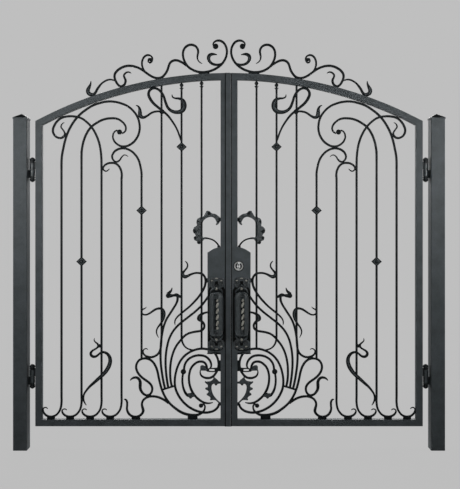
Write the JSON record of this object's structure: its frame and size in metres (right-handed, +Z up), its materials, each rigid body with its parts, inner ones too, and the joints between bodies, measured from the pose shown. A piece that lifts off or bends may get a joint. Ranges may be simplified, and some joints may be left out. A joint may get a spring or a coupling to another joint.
{
  "type": "double driveway gate",
  "caption": "Double driveway gate with arched top: square tube frames, plain bars, forged scrollwork, a scroll crest, lock boxes and pull handles, hung between two posts.",
  "frame": {"origin": "middle of the left post's foot face, on the ground", "axes": "+X along the gate from the left post to the right one as seen from the street, +Y into the drive, the way the leaves open, +Z up"},
  "size_m": [2.478, 0.156, 2.3607],
  "materials": {
    "post_paint": "fine-textured powder coat",
    "frame_paint": "fine-textured powder coat",
    "bar_paint": "fine-textured powder coat",
    "scroll_paint": "fine-textured powder coat over forged steel",
    "cast_paint": "powder coat over castings",
    "hinge_paint": "powder coat",
    "lock_metal": "polished"
  },
  "bodies": {
    "posts": {"left_post": "post_paint", "left_post_cap": "post_paint", "left_hinge_pins": "hinge_paint", "right_post": "post_paint", "right_post_cap": "post_paint", "right_hinge_pins": "hinge_paint"},
    "left_leaf": {"left_outer_stile": "frame_paint", "left_meeting_stile": "frame_paint", "left_bottom_rail": "frame_paint", "left_arched_rail": "frame_paint", "left_bars": "bar_paint", "left_corner_scrolls": "scroll_paint", "left_crown_branch": "scroll_paint", "left_acanthus_leaf": "scroll_paint", "left_vines": "scroll_paint", "left_fan_stems": "scroll_paint", "left_ring_scroll": "scroll_paint", "left_base_scrolls": "scroll_paint", "left_crest": "scroll_paint", "left_collars": "cast_paint", "left_finials": "cast_paint", "left_lock_box": "frame_paint", "left_handles": "cast_paint", "left_hinge_sockets": "hinge_paint", "left_cover_strip": "frame_paint"},
    "right_leaf": {"right_outer_stile": "frame_paint", "right_meeting_stile": "frame_paint", "right_bottom_rail": "frame_paint", "right_arched_rail": "frame_paint", "right_bars": "bar_paint", "right_corner_scrolls": "scroll_paint", "right_crown_branch": "scroll_paint", "right_acanthus_leaf": "scroll_paint", "right_vines": "scroll_paint", "right_fan_stems": "scroll_paint", "right_ring_scroll": "scroll_paint", "right_base_scrolls": "scroll_paint", "right_crest": "scroll_paint", "right_collars": "cast_paint", "right_finials": "cast_paint", "right_lock_box": "frame_paint", "right_handles": "cast_paint", "right_hinge_sockets": "hinge_paint", "right_lock_cylinder": "lock_metal"}
  },
  "joints": [
    {"name": "left_leaf_swing", "type": "hinge", "parent": "posts", "child": "left_leaf", "pos_m": [0.0615, 0.006, 0.417], "axis": [0, 0, 1], "range_deg": [0, 90]},
    {"name": "right_leaf_swing", "type": "hinge", "parent": "posts", "child": "right_leaf", "pos_m": [2.3325, 0.006, 0.417], "axis": [0, 0, -1], "range_deg": [0, 90]}
  ]
}
